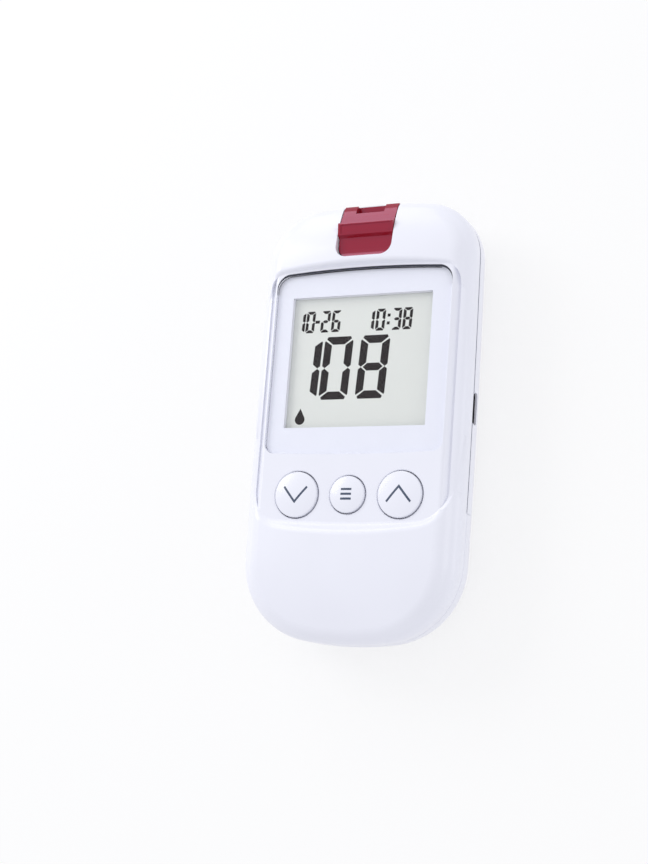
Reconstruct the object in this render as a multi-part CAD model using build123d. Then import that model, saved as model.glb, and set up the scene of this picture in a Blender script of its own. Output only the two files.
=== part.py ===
from build123d import *
import os

# ------------------------------------------------------------------
# Blood glucose meter, millimetres.
# The back of the meter lies on Z = 0 and the display faces +Z.
# +Y is the strip port end, +X is the data port side.
# ------------------------------------------------------------------

# Case
LENGTH = 104.0
WIDTH = 53.4
SIDE_BULGE = 0.45           # how far the long sides bow outwards
TOP_BULGE = 2.7             # how far the strip end bows outwards
BOTTOM_BULGE = 5.0          # how far the lower end bows outwards
TOP_CORNER = 13.4
BOTTOM_CORNER = 18.6
PART_Z = 11.2               # height of the parting plane
HULL_FILLET = 10.0          # rounding of the back shell
RIM_Z = 16.4                # top of the rim that runs round the face
RIM_FILLET = 3.2
SEAM = 0.2                  # chamfer on the back shells at the parting plane
SEAM_GAP = 0.45             # height and depth of the shadow groove at the parting plane
SEAM_DEPTH = 1.0
DOOR_SEAM = 0.2             # height of that groove above the battery door
WALL = 1.8

# Raised middle of the face: crown above the display, belly below the keys
CREST_Z = 19.1
PILLOW_INSET = 1.3
PILLOW_END = 0.05           # the raised middle runs out into the rim at both ends
PILLOW_FILLET = 4.2
CROWN_VALLEY_R = 3.0        # hollow rounding between crown and rim at the top corners
LIP_R = 2.0                 # rounding of the belly lip's crest
CROWN_EDGE_R = 1.0          # rounding of the crown's edge above the panel
CROWN_Y = 36.5              # where the crown starts to fall towards the strip end
CROWN_R = 33.0
BELLY_Y = -31.5             # where the belly starts to fall towards the lower end
BELLY_R = 72.0
CROSS_R = 240.0             # sideways crowning of the whole face

# Shield-shaped panel that is sunk between crown and belly
PANEL_Z = 17.5
PANEL_HALF_W = 24.0
PANEL_TOP = 35.9
PANEL_FOOT = -24.7          # foot of the belly lip
LIP_CREST = -28.0           # crest of the belly lip
CROWN_WALL = 1.1            # how far the crown wall leans back
SIDE_WALL = 0.4             # how far the panel's side walls lean out
PANEL_CORNER = 4.0
LIP_CORNER = 7.0            # corner radius at the ends of the belly lip
SHOULDER_X = 21.9           # where the panel starts to fall to the side creases
GROOVE_Z = 15.9
SWEEP_Z = 14.9              # under the rim's rounding, so that the rim stays whole
SWEEP_Y = (-10.0, 21.0)     # between these nothing stands on the rim beside the panel
SWEEP_RISE = 15.5           # how far the crown and belly take to sweep up from it
PANEL_SKIN = 1.5

# Display
LENS_Z = 17.6
LENS_T = 1.2
LENS_HALF_W = 22.1
LENS_TOP = 35.1
LENS_BOTTOM = -8.9
LENS_GAP = 0.12
LENS_TOP_GAP = 0.5
ADHESIVE_T = 0.2
WINDOW_W = 36.0
WINDOW_H = 32.4
WINDOW_Y = 12.8
LEDGE_Z = 15.2              # underside of the ledge that carries the lens
LCD_W = 39.2
LCD_TOP = 31.6
LCD_BOTTOM = -6.0
LCD_GLASS_T = 0.65
LCD_LEDGE = 2.4             # contact ledge of the upper glass

# Circuit board
BOARD_Z = 12.9
BOARD_T = 0.8
BOARD_TOP = BOARD_Z + BOARD_T
BOARD_INSET = 4.2
BOARD_LOW_Y = -41.0
BOARD_HIGH_Y = 46.6

# Keys
KEY_Y = -18.4
KEY_PITCH = 12.8
KEY_R = 5.3
MEMORY_R = 4.25
KEY_GAP = 0.27
KEY_MOUTH = 0.25            # rounding of the key holes' edges
KEY_EDGE_Z = 17.95
KEY_DOME = 0.6
KEY_ROUND = 0.3
KEY_FLANGE = 0.75
KEY_FLANGE_T = 0.8
KEY_BASE_Z = 15.0
KEY_TRAVEL = 0.8

# Strip ejector
SLIDER_HALF_W = 6.85
RIDGE_HALF_W = 6.98
SLIDER_LOW_Y = 38.15
SLIDER_HIGH_Y = 51.5
SLIDER_ROOF_Z = 15.7
SLIDER_FLOOR_Z = 13.9
SLIDER_TRAVEL = 5.0
SLIDER_CORNER = 2.6
TROUGH_GAP = 0.25
TROUGH_FLOOR_Z = 13.4
NOTCH_HALF_W = 3.6
NOTCH_Y = 49.3
LIP_Z = 14.15
STRIP_Z = 14.2
STRIP_SLOT = 0.5
STRIP_HALF_W = 3.7

# Batteries: two AAA cells, 10.5 mm by 44.5 mm
CELL_R = 5.25
CELL_L = 44.5
CELL_X = 5.65
CELL_Z = 6.9
CELL_LOW_Y = -43.4
BAY_R = 5.4
BAY_LOW_Y = -45.8
BAY_HIGH_Y = 3.5
BAY_WALL = 1.3
BAY_ROOF_Z = 12.8

# Battery door
DOOR_SKIN = 1.4
DOOR_GAP = 0.2
DOOR_ARCH_Y = 6.0           # crown of the arched seam on the back
DOOR_SIDE_Y = -22.0         # where the seam reaches the parting plane

# Data port
PORT_Y = 2.5
PORT_W = 7.0
PORT_H = 1.9
PORT_Z = 10.1
PORT_DEPTH = 7.0

# Screws: four M2 by 10 pan heads
SCREWS = [(-18.8, 36.0), (18.8, 36.0), (-17.4, -31.5), (17.4, -31.5)]
SCREW_HEAD_R = 1.9
SCREW_HEAD_H = 1.4
SCREW_R = 1.0
SCREW_SEAT_Z = 7.0
SCREW_TIP_Z = 14.4
BOSS_R = 2.7

HIGH = 30.0                 # taller than anything, for through cuts


# ------------------------------------------------------------------
# Outlines and basic forms
# ------------------------------------------------------------------

def bowed_loop(half_w, top, bottom, side_bow, top_bow, bottom_bow, top_r, bottom_r):
    """A closed plan shape of four bowed sides with rounded corners."""
    side_w = half_w - side_bow
    top_y = top - top_bow
    bottom_y = bottom + bottom_bow
    mid_y = (top_y + bottom_y) / 2
    top_edge = ThreePointArc((-side_w, top_y), (0, top), (side_w, top_y))
    bottom_edge = ThreePointArc((side_w, bottom_y), (0, bottom), (-side_w, bottom_y))
    if side_bow > 0:
        right = ThreePointArc((side_w, top_y), (half_w, mid_y), (side_w, bottom_y))
        left = ThreePointArc((-side_w, bottom_y), (-half_w, mid_y), (-side_w, top_y))
    else:
        right = Line((side_w, top_y), (side_w, bottom_y))
        left = Line((-side_w, bottom_y), (-side_w, top_y))
    face = make_face([top_edge, right, bottom_edge, left])
    upper = face.vertices().filter_by(lambda v: v.Y > mid_y)
    face = fillet(upper, top_r)
    lower = face.vertices().filter_by(lambda v: v.Y < mid_y - (top_y - bottom_y) * 0.4)
    return fillet(lower, bottom_r)


def case_outline(inset=0.0):
    """Plan outline of the meter, drawn inset from its outer edge."""
    return bowed_loop(
        WIDTH / 2 - inset, LENGTH / 2 - inset, inset - LENGTH / 2,
        SIDE_BULGE, TOP_BULGE, BOTTOM_BULGE,
        TOP_CORNER - inset, BOTTOM_CORNER - inset)


def prism(face, low, high):
    """The plan shape raised from one height to another."""
    return extrude(Pos(0, 0, low) * face, high - low)


def block(x0, x1, y0, y1, z0, z1):
    """An upright box between two corners."""
    centre = Pos((x0 + x1) / 2, (y0 + y1) / 2, (z0 + z1) / 2)
    return centre * Box(x1 - x0, y1 - y0, z1 - z0)


def post(x, y, radius, low, high):
    """An upright round post."""
    return Pos(x, y, (low + high) / 2) * Cylinder(radius, high - low)


def edges_between(shape, low, high):
    """The edges that lie wholly inside the box between two corners."""
    def inside(edge):
        box = edge.bounding_box()
        nearest = zip(low, tuple(box.min))
        farthest = zip(tuple(box.max), high)
        return all(a <= b for a, b in (*nearest, *farthest))
    return shape.edges().filter_by(inside)


def hull(inset=0.0):
    """Back shell's form with its rounded lower edge, drawn inset all round."""
    body = prism(case_outline(inset), inset, PART_Z)
    edges = body.edges().group_by(Axis.Z)[0]
    return fillet(edges, HULL_FILLET - inset)


def pillow(inset, lower, base):
    """The raised middle of the face: a side profile swept across a wide arc."""
    crest = CREST_Z - lower
    end = LENGTH / 2 + 2
    crown_r = CROWN_R - lower
    belly_r = BELLY_R - lower
    crown_end = crest - crown_r + (crown_r ** 2 - (end - CROWN_Y) ** 2) ** 0.5
    belly_end = crest - belly_r + (belly_r ** 2 - (end + BELLY_Y) ** 2) ** 0.5
    crown = TangentArc((CROWN_Y, crest), (end, crown_end), tangent=(1, 0))
    belly = TangentArc((BELLY_Y, crest), (-end, belly_end), tangent=(-1, 0))
    top = Line((BELLY_Y, crest), (CROWN_Y, crest))
    sides = Polyline((end, crown_end), (end, base), (-end, base), (-end, belly_end))
    profile = Plane.YZ * make_face([top, crown, sides, belly])
    axis = Axis((0, 0, crest - CROSS_R), (0, 1, 0))
    sweep_angle = 16.0
    start = profile.rotate(axis, -sweep_angle / 2)
    swept = revolve(start, axis, sweep_angle)
    end_y = LENGTH / 2 - PILLOW_END - inset
    plan = bowed_loop(
        WIDTH / 2 - PILLOW_INSET - inset, end_y, -end_y, SIDE_BULGE, TOP_BULGE, BOTTOM_BULGE,
        TOP_CORNER - inset, BOTTOM_CORNER - inset)
    return swept & prism(plan, base, HIGH)


def shield(half_w, top, bottom, corner, low_corner):
    """The panel's plan shape, arched at the top and bottom."""
    return bowed_loop(half_w, top, bottom, 0, 1.2, 1.1, corner, low_corner)


def lens_plan(gap, top_gap):
    """Plan of the display lens, or of its pocket when grown by the gaps."""
    return bowed_loop(
        LENS_HALF_W + gap, LENS_TOP + top_gap, LENS_BOTTOM - gap,
        0, 0.95, 0.5, 3.4 + gap, 2.4 + gap)


def door_plan(grow=0.0):
    """Everything below the arched seam of the battery door, in plan."""
    arch_half = 15.0
    arch_end = DOOR_ARCH_Y - 4 + grow
    out_x = WIDTH / 2 + 4
    slope = (DOOR_SIDE_Y - DOOR_ARCH_Y + 4) / (WIDTH / 2 - arch_half)
    out_y = arch_end + slope * (out_x - arch_half)
    top = DOOR_ARCH_Y + grow
    arch = ThreePointArc((-arch_half, arch_end), (0, top), (arch_half, arch_end))
    rest = Polyline((arch_half, arch_end), (out_x, out_y), (out_x, -LENGTH),
                    (-out_x, -LENGTH), (-out_x, out_y), (-arch_half, arch_end))
    face = make_face([arch, rest])
    shoulders = face.vertices().filter_by(lambda v: abs(v.Y - arch_end) < 0.1)
    return fillet(shoulders, 9.0)


# ------------------------------------------------------------------
# Front housing
# ------------------------------------------------------------------

def panel_foot():
    """Plan of the panel at the foot of its surrounding wall."""
    return shield(PANEL_HALF_W, PANEL_TOP, PANEL_FOOT, PANEL_CORNER, LIP_CORNER)


def panel_wall():
    """The panel's surrounding wall: it starts and ends level, like a moulded sweep."""
    height = CREST_Z + 0.3 - PANEL_Z
    rings = []
    for step in (0, 0.15, 0.32, 0.5, 0.68, 0.85, 1):
        rise = height * step * step * (3 - 2 * step)
        ring = shield(
            PANEL_HALF_W + SIDE_WALL * step,
            PANEL_TOP + CROWN_WALL * step,
            PANEL_FOOT + (LIP_CREST - PANEL_FOOT) * step,
            PANEL_CORNER + SIDE_WALL * step,
            LIP_CORNER + 2.0 * step)
        rings.append(Pos(0, 0, PANEL_Z + rise) * ring)
    return rings


def panel_cutter():
    """What is taken away above the sunken panel, its grooves and its lip."""
    rings = panel_wall()
    low = prism(panel_foot(), PART_Z, PANEL_Z)
    high = extrude(rings[-1], HIGH)
    edge_x = PANEL_HALF_W + 0.02
    right = Spline((SHOULDER_X, PANEL_Z), (edge_x, GROOVE_Z), tangents=[(1, 0), (1, -0.1)])
    left = Spline((-SHOULDER_X, PANEL_Z), (-edge_x, GROOVE_Z), tangents=[(-1, 0), (-1, -0.1)])
    flat = Line((-SHOULDER_X, PANEL_Z), (SHOULDER_X, PANEL_Z))
    rest = Polyline((edge_x, GROOVE_Z), (WIDTH, GROOVE_Z), (WIDTH, HIGH),
                    (-WIDTH, HIGH), (-WIDTH, GROOVE_Z), (-edge_x, GROOVE_Z))
    above = extrude(Plane.XZ * make_face([flat, right, rest, left]), LENGTH, both=True)
    return (low + loft(rings) + high) & above


def rim_sweep():
    """What is taken off beside the panel, where crown and belly sweep down to the rim."""
    low, high = SWEEP_Y
    top = CREST_Z + 0.5
    flat = Line((low, SWEEP_Z), (high, SWEEP_Z))
    rise_up = TangentArc((high, SWEEP_Z), (high + SWEEP_RISE, top), tangent=(1, 0))
    rise_down = TangentArc((low, SWEEP_Z), (low - SWEEP_RISE, top), tangent=(-1, 0))
    rest = Line((high + SWEEP_RISE, top), (low - SWEEP_RISE, top))
    sweep = extrude(Plane.YZ * make_face([flat, rise_up, rest, rise_down]), WIDTH, both=True)
    return sweep - prism(panel_foot(), 0, HIGH)


def rounded_pillow(inset, lower, base):
    """The raised middle of the face with its upper edge rolled over."""
    body = pillow(inset, lower, base)
    brim = body.edges().filter_by(lambda e: e.geom_type == GeomType.BSPLINE)
    return fillet(brim, PILLOW_FILLET - inset)


def face_cavity():
    """The hollow inside the front housing."""
    slab = prism(case_outline(WALL), PART_Z - 1, RIM_Z - WALL)
    hollow = slab + rounded_pillow(WALL, WALL, PART_Z - 1)
    roof_z = PANEL_Z - PANEL_SKIN
    back_y = PANEL_TOP + CROWN_WALL + 1
    hollow -= block(-WIDTH, WIDTH, LIP_CREST - WALL, back_y, roof_z, HIGH)
    lens_low = LENS_BOTTOM - WALL
    hollow -= block(-WIDTH, WIDTH, lens_low, back_y, LEDGE_Z, HIGH)
    for side in (-1, 1):
        inner = 21.0 * side
        outer = WIDTH * side
        hollow -= block(min(inner, outer), max(inner, outer), LIP_CREST - WALL,
                        back_y, GROOVE_Z - PANEL_SKIN, HIGH)
    return hollow


def trough():
    """The open-ended trough that the ejector slider runs in."""
    half_w = SLIDER_HALF_W + TROUGH_GAP
    low_y = SLIDER_LOW_Y - TROUGH_GAP
    face = Pos(0, (low_y + LENGTH) / 2) * Rectangle(2 * half_w, LENGTH - low_y)
    low = face.vertices().group_by(Axis.Y)[0]
    face = fillet(low, SLIDER_CORNER + TROUGH_GAP)
    return prism(face, TROUGH_FLOOR_Z, HIGH)


def port_opening():
    """Rounded slot in the side wall for the data port."""
    face = RectangleRounded(PORT_W + 0.4, PORT_H + 0.4, 0.8)
    depth = PORT_DEPTH + 0.4
    place = Plane(origin=(WIDTH / 2 - depth, PORT_Y, PORT_Z), x_dir=(0, 1, 0), z_dir=(1, 0, 0))
    return extrude(place * face, depth + 2)


def front_housing():
    slab = prism(case_outline(), PART_Z, RIM_Z)
    slab = fillet(slab.edges().group_by(Axis.Z)[-1], RIM_FILLET)
    body = slab + rounded_pillow(0, 0, PART_Z + 1)
    valleys = edges_between(body, (-WIDTH, CROWN_Y - 0.1, RIM_Z - 1.1), (WIDTH, 49.0, RIM_Z))
    body = fillet(valleys, CROWN_VALLEY_R)
    body -= rim_sweep() - slab
    body -= panel_cutter()
    crest = CREST_Z + 0.1
    lip = edges_between(body, (-22.0, LIP_CREST, 17.9), (22.0, LIP_CREST + 4.7, crest))
    body = fillet(lip, LIP_R)
    brow = edges_between(body, (-21.0, PANEL_TOP - 0.5, 18.1), (21.0, PANEL_TOP + 1.6, crest))
    body = fillet(brow, CROWN_EDGE_R)
    body -= face_cavity()
    seam = prism(case_outline(-1), PART_Z - 1, PART_Z + SEAM_GAP)
    seam -= block(-WIDTH, WIDTH, -LENGTH, DOOR_SIDE_Y, PART_Z + DOOR_SEAM, HIGH)
    body -= seam - prism(case_outline(SEAM_DEPTH), 0, HIGH)
    for x, y in SCREWS:
        ceiling = LEDGE_Z + 0.3 if y > 0 else RIM_Z + 0.6
        body += post(x, y, 2.4, PART_Z, ceiling)
        body -= post(x, y, SCREW_R, PART_Z - 1, SCREW_TIP_Z + 0.3)
    body -= prism(lens_plan(LENS_GAP, LENS_TOP_GAP), LENS_Z - LENS_T - ADHESIVE_T, HIGH)
    body -= block(-WINDOW_W / 2, WINDOW_W / 2, WINDOW_Y - WINDOW_H / 2,
                  WINDOW_Y + WINDOW_H / 2, PART_Z, HIGH)
    for x, radius in key_places():
        body -= post(x, KEY_Y, radius + KEY_GAP, PART_Z, HIGH)
        mouth = body.edges().filter_by(
            lambda e: e.geom_type == GeomType.CIRCLE
            and abs(e.center().Z - PANEL_Z) < 0.01
            and abs(e.arc_center.X - x) < 0.01
            and abs(e.arc_center.Y - KEY_Y) < 0.01)
        body = fillet(mouth, KEY_MOUTH)
    body -= trough()
    body -= port_opening()
    return body


# ------------------------------------------------------------------
# Back housing and battery door
# ------------------------------------------------------------------

def battery_bay():
    """The twin-barrelled well for the two cells, open to the back."""
    barrels = Pos(-CELL_X, CELL_Z) * Circle(BAY_R) + Pos(CELL_X, CELL_Z) * Circle(BAY_R)
    half_w = CELL_X + BAY_R
    mouth = Pos(0, CELL_Z / 2 - 1) * Rectangle(2 * half_w, CELL_Z + 2)
    section = Plane.XZ * (barrels + mouth)
    long = extrude(section, -(BAY_HIGH_Y - BAY_LOW_Y))
    return Pos(0, BAY_LOW_Y, 0) * long


def back_housing():
    inner = DOOR_SKIN + DOOR_GAP
    form = chamfer(hull().edges().group_by(Axis.Z)[-1], SEAM)
    form -= prism(door_plan(DOOR_GAP), -1, HIGH) - hull(inner)
    tray_half = CELL_X + BAY_R + BAY_WALL
    tray_high = DOOR_ARCH_Y + 1.6
    upper = hull(WALL) & block(-WIDTH, WIDTH, tray_high, LENGTH, 0, PART_Z)
    lower = hull(inner + WALL) & block(-WIDTH, WIDTH, -LENGTH, BAY_HIGH_Y, 0, PART_Z)
    lower -= block(-tray_half, tray_half, -LENGTH, LENGTH, 0, PART_Z)
    body = form - upper - lower
    body += block(-tray_half, tray_half, BAY_LOW_Y - BAY_WALL, BAY_HIGH_Y + BAY_WALL,
                  PART_Z, BAY_ROOF_Z)
    for x, y in SCREWS:
        body += post(x, y, BOSS_R, 0, PART_Z) & (hull(inner) if y < 0 else hull())
        body -= post(x, y, SCREW_R + 0.1, 0, PART_Z + 1)
        body -= post(x, y, SCREW_HEAD_R + 0.2, -1, SCREW_SEAT_Z)
    body -= battery_bay()
    tongue_slot = block(-2, 2, -LENGTH, 9.0, WALL, 3.0)
    body -= tongue_slot
    body -= block(-2, 2, -LENGTH, DOOR_ARCH_Y, 0, 3.0)
    for side in (-1, 1):
        groove = block(24.0, WIDTH, -LENGTH, -22.8, 8.5, 10.1)
        body -= groove if side > 0 else mirror(groove, Plane.YZ)
    body -= port_opening()
    return body


def battery_door():
    form = chamfer(hull().edges().group_by(Axis.Z)[-1], SEAM)
    body = (form - hull(DOOR_SKIN)) & prism(door_plan(), -1, PART_Z)
    body += block(-1.8, 1.8, 3.8, 5.6, 1.0, 2.8) + block(-1.8, 1.8, 3.8, 8.6, 2.0, 2.8)
    rib = block(24.25, 25.8, -33.0, -24.0, 8.8, 9.8)
    body += (rib + mirror(rib, Plane.YZ)) & hull(0.5)
    for row in range(4):
        y = -6.0 - 2.4 * row
        body -= block(-7, 7, y - 0.5, y + 0.5, -1, 0.35)
    return body


# ------------------------------------------------------------------
# Display
# ------------------------------------------------------------------

def display_lens():
    lens = prism(lens_plan(0, 0), LENS_Z - LENS_T, LENS_Z)
    return fillet(lens.edges().group_by(Axis.Z)[-1], 0.3)


def lens_adhesive():
    """Adhesive frame under the lens, with the bead that closes the gap above it."""
    low = LENS_Z - LENS_T - ADHESIVE_T
    ring = prism(lens_plan(-0.5, -0.5), low, low + ADHESIVE_T)
    bead = prism(lens_plan(LENS_GAP - 0.03, LENS_TOP_GAP - 0.03), low, LENS_Z - 0.35)
    bead -= prism(lens_plan(0.01, 0.01), low + ADHESIVE_T, HIGH)
    ring += bead & block(-WIDTH, WIDTH, LENS_TOP - 5, LENGTH, 0, HIGH)
    half_w = WINDOW_W / 2 + 0.4
    half_h = WINDOW_H / 2 + 0.4
    return ring - block(-half_w, half_w, WINDOW_Y - half_h, WINDOW_Y + half_h, 0, HIGH)


def lcd_glass():
    low = LEDGE_Z - 0.1 - 2 * LCD_GLASS_T
    step_y = LCD_BOTTOM + LCD_LEDGE
    lower = block(-LCD_W / 2, LCD_W / 2, step_y, LCD_TOP, low, low + LCD_GLASS_T)
    upper = block(-LCD_W / 2, LCD_W / 2, LCD_BOTTOM, LCD_TOP,
                  low + LCD_GLASS_T, low + 2 * LCD_GLASS_T)
    return lower + upper


def lcd_frame():
    outer = Rectangle(41.8, LCD_TOP - LCD_BOTTOM + 2.8)
    outer = fillet(outer.vertices(), 0.9)
    inner = Rectangle(LCD_W + 0.3, LCD_TOP - LCD_BOTTOM + 0.3)
    ring = Pos(0, (LCD_TOP + LCD_BOTTOM) / 2) * (outer - inner)
    return prism(ring, BOARD_TOP, LEDGE_Z - 0.05)


def lcd_connector():
    low_y = LCD_BOTTOM + 0.2
    glass_z = LEDGE_Z - 0.1 - LCD_GLASS_T
    return block(-18, 18, low_y, low_y + LCD_LEDGE - 0.6, BOARD_TOP, glass_z)


# ------------------------------------------------------------------
# Circuit board and what is soldered to it
# ------------------------------------------------------------------

def main_board():
    plan = case_outline(BOARD_INSET)
    plan &= Pos(0, (BOARD_LOW_Y + BOARD_HIGH_Y) / 2) * Rectangle(
        WIDTH, BOARD_HIGH_Y - BOARD_LOW_Y)
    board = prism(plan, BOARD_Z, BOARD_TOP)
    for x, y in SCREWS:
        board -= post(x, y, 2.65, 0, HIGH)
    return board


def processor_chip():
    return block(-12, -2, 22, 32, BOARD_Z - 1.4, BOARD_Z)


def memory_chip():
    return block(2.5, 7.5, 27, 31, BOARD_Z - 1.5, BOARD_Z)


def clock_crystal():
    can = block(-10, -3, 17, 20, BOARD_Z - 1.2, BOARD_Z)
    return fillet(can.edges().filter_by(Axis.Z), 1.2)


def wireless_module():
    can = block(9.5, 20.5, 14, 24, BOARD_Z - 2.0, BOARD_Z)
    return fillet(can.edges().filter_by(Axis.Z), 0.8)


def buzzer():
    body = post(-15, 14.5, 4.6, BOARD_Z - 3.0, BOARD_Z)
    return body - post(-15, 14.5, 0.8, 0, BOARD_Z - 1.5)


def data_socket():
    """Drawn metal shell, open towards +X, hung from the board by four legs."""
    back_x = WIDTH / 2 - PORT_DEPTH
    mouth_x = WIDTH / 2 - 0.5
    depth = mouth_x - back_x
    place = Plane(origin=(back_x, PORT_Y, PORT_Z), x_dir=(0, 1, 0), z_dir=(1, 0, 0))
    skin = 0.3
    outer = RectangleRounded(PORT_W + 0.1, PORT_H + 0.1, 0.7)
    inner = RectangleRounded(PORT_W + 0.1 - 2 * skin, PORT_H + 0.1 - 2 * skin, 0.45)
    shell = extrude(place * outer, depth)
    for side in (-1, 1):
        edge = PORT_Y + side * (PORT_W / 2 - 2 * skin)
        for x in (back_x, back_x + 2.4):
            shell += block(x, x + 1.0, edge - skin / 2, edge + skin / 2, PORT_Z, BOARD_Z)
    return shell - extrude(place.offset(skin) * inner, depth)


def socket_tongue():
    back_x = WIDTH / 2 - PORT_DEPTH + 0.3
    core = block(back_x, back_x + 1.2, PORT_Y - 2.95, PORT_Y + 2.95, PORT_Z - 0.65, PORT_Z + 0.65)
    blade = block(back_x, back_x + 5.0, PORT_Y - 2.4, PORT_Y + 2.4,
                  PORT_Z - 0.3, PORT_Z + 0.35)
    return core + blade


# ------------------------------------------------------------------
# Keys
# ------------------------------------------------------------------

def key_places():
    """Centre and cap radius of each key, from left to right."""
    return [(-KEY_PITCH, KEY_R), (0.0, MEMORY_R), (KEY_PITCH, KEY_R)]


def key_cap(x, radius):
    """A domed cap with a retaining flange at its foot."""
    flange_r = radius + KEY_FLANGE
    flange_z = KEY_BASE_Z + KEY_FLANGE_T
    dome = TangentArc((0, KEY_EDGE_Z + KEY_DOME), (radius, KEY_EDGE_Z), tangent=(1, 0))
    rest = Polyline((0, KEY_EDGE_Z + KEY_DOME), (0, KEY_BASE_Z), (flange_r, KEY_BASE_Z),
                    (flange_r, flange_z), (radius, flange_z), (radius, KEY_EDGE_Z))
    cap = revolve(Plane.XZ * make_face([dome, rest]), Axis.Z)
    brim = cap.edges().filter_by(lambda e: abs(e.center().Z - KEY_EDGE_Z) < 0.01)
    cap = fillet(brim, KEY_ROUND)
    return Pos(x, KEY_Y, 0) * cap


def key_dome(x):
    """Hollow rubber dome under a key."""
    top = KEY_BASE_Z - 0.02
    low = BOARD_TOP
    skin = 0.45
    profile = Polyline((2.6, low), (3.4, low), (3.4, low + 0.3), (1.7, top), (0, top),
                       (0, top - skin), (1.3, top - skin), (2.6, low + 0.2), (2.6, low))
    return Pos(x, KEY_Y, 0) * revolve(Plane.XZ * make_face(profile), Axis.Z)


# ------------------------------------------------------------------
# Strip port and ejector
# ------------------------------------------------------------------

def slider_profile():
    """Side view of the slider's upper surface, closed off at its roof."""
    scoop = ThreePointArc((SLIDER_LOW_Y - 1, 18.5), (38.6, 17.65), (40.4, 17.35))
    ridge = Polyline((40.4, 17.35), (42.95, 17.35), (43.5, 18.2), (46.1, 18.55), (46.45, 18.4),
                     (46.55, 17.4), (48.2, 16.85), (48.3, 16.65), (49.4, 16.25))
    end_z = 15.1
    brow = ThreePointArc((49.4, 16.25), (50.6, 15.7), (SLIDER_HIGH_Y, end_z))
    rest = Polyline((SLIDER_HIGH_Y, end_z), (SLIDER_HIGH_Y, SLIDER_FLOOR_Z),
                    (SLIDER_LOW_Y - 1, SLIDER_FLOOR_Z), (SLIDER_LOW_Y - 1, 18.5))
    return Plane.YZ * make_face([scoop, ridge, brow, rest])


def ejector_slider():
    solid = extrude(slider_profile(), SLIDER_HALF_W, both=True)
    plan = Pos(0, (SLIDER_LOW_Y + LENGTH) / 2) * Rectangle(
        2 * SLIDER_HALF_W, LENGTH - SLIDER_LOW_Y)
    plan = fillet(plan.vertices().group_by(Axis.Y)[0], SLIDER_CORNER)
    body = solid & prism(plan, 0, HIGH)
    ridge = extrude(slider_profile(), RIDGE_HALF_W, both=True)
    body += ridge & block(-HIGH, HIGH, 42.9, 46.6, 17.0, HIGH)
    pad = Polyline((43.85, 18.1), (45.85, 18.37), (45.85, HIGH), (43.85, HIGH), (43.85, 18.1))
    body -= extrude(Plane.YZ * make_face(pad), RIDGE_HALF_W - 0.7, both=True)
    rail_x = 5.55
    hollow_high = NOTCH_Y - 0.1
    body -= block(-rail_x, rail_x, 0, hollow_high, 0, SLIDER_ROOF_Z)
    body -= block(-NOTCH_HALF_W, NOTCH_HALF_W, NOTCH_Y, LENGTH, LIP_Z, HIGH)
    body -= block(-STRIP_HALF_W, STRIP_HALF_W, 0, LENGTH, LIP_Z, STRIP_Z + STRIP_SLOT + 0.1)
    for side in (-1, 1):
        body += Pos(side * (SLIDER_HALF_W + 0.6), 41.2, 14.175) * Box(1.6, 4.2, 0.55)
    return body


def strip_pusher():
    """Steel finger under the slider that pushes the strip out."""
    return block(-1.1, 1.1, 39.3, 40.3, STRIP_Z + 0.1, SLIDER_ROOF_Z)


def strip_connector():
    body = block(-5.3, 5.3, 34.0, 48.7, BOARD_TOP, LEDGE_Z - 0.1)
    body += block(5.3, 8.9, 33.9, 34.6, BOARD_TOP, LEDGE_Z - 0.1)
    body -= block(-STRIP_HALF_W, STRIP_HALF_W, 34.8, LENGTH, STRIP_Z, STRIP_Z + STRIP_SLOT)
    body -= block(-1.4, 1.4, 38.9, 46.0, STRIP_Z, HIGH)
    return body


def strip_contacts():
    """Five sprung contacts that the inserted strip rides over."""
    contact = block(-0.25, 0.25, 34.9, 38.6, STRIP_Z, STRIP_Z + 0.12)
    bump = Pos(0, 38.0, STRIP_Z + 0.12) * Rot(0, 90, 0) * Cylinder(0.22, 0.5)
    contact += bump & block(-1, 1, 0, LENGTH, STRIP_Z, HIGH)
    return [Pos(1.2 * (i - 2), 0, 0) * contact for i in range(5)]


def ejector_spring():
    """Extension spring that pulls the slider back."""
    turns = 5
    length = 3.9
    coil_r = 0.5
    wire_r = 0.11
    path = Helix(length / turns, length, coil_r)
    start = path @ 0
    section = Plane(origin=start, z_dir=path % 0) * Circle(wire_r)
    coil = sweep(section, path, is_frenet=True)
    return Pos(7.6, 34.85, 14.45) * Rot(-90, 0, 0) * coil


# ------------------------------------------------------------------
# Batteries
# ------------------------------------------------------------------

def battery_cell(x, nub_up):
    nub_l = 1.0
    nub_r = 1.9
    half = Polyline((0, 0), (CELL_R, 0), (CELL_R, CELL_L - nub_l), (nub_r, CELL_L - nub_l),
                    (nub_r, CELL_L), (0, CELL_L), (0, 0))
    cell = revolve(make_face(half), Axis.Y)
    rims = cell.edges().filter_by(lambda e: abs(e.radius - CELL_R) < 0.01
                                  if e.geom_type == GeomType.CIRCLE else False)
    cell = fillet(rims, 0.4)
    if not nub_up:
        cell = Pos(0, CELL_L, 0) * Rot(0, 0, 180) * cell
    return Pos(x, CELL_LOW_Y, CELL_Z) * cell


def battery_contacts():
    """Plated leaf at each end of each cell, bent into a sprung bow."""
    leaves = []
    bow_r = 1.9
    for x in (-CELL_X, CELL_X):
        for end in (-1, 1):
            wall_y = BAY_HIGH_Y if end > 0 else BAY_LOW_Y
            plate = Pos(x, wall_y - end * 0.2, CELL_Z) * Box(7.0, 0.4, 7.0)
            bow = Cylinder(bow_r, 4.6) - Cylinder(bow_r - 0.3, 4.6)
            bow = Pos(x, wall_y - end * 0.2, CELL_Z) * bow
            keep = block(x - 3, x + 3, wall_y - 2.3, wall_y - 0.3, 0, HIGH)
            if end < 0:
                keep = block(x - 3, x + 3, wall_y + 0.3, wall_y + 2.3, 0, HIGH)
            leaves.append(plate + (bow & keep))
    return leaves


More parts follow.
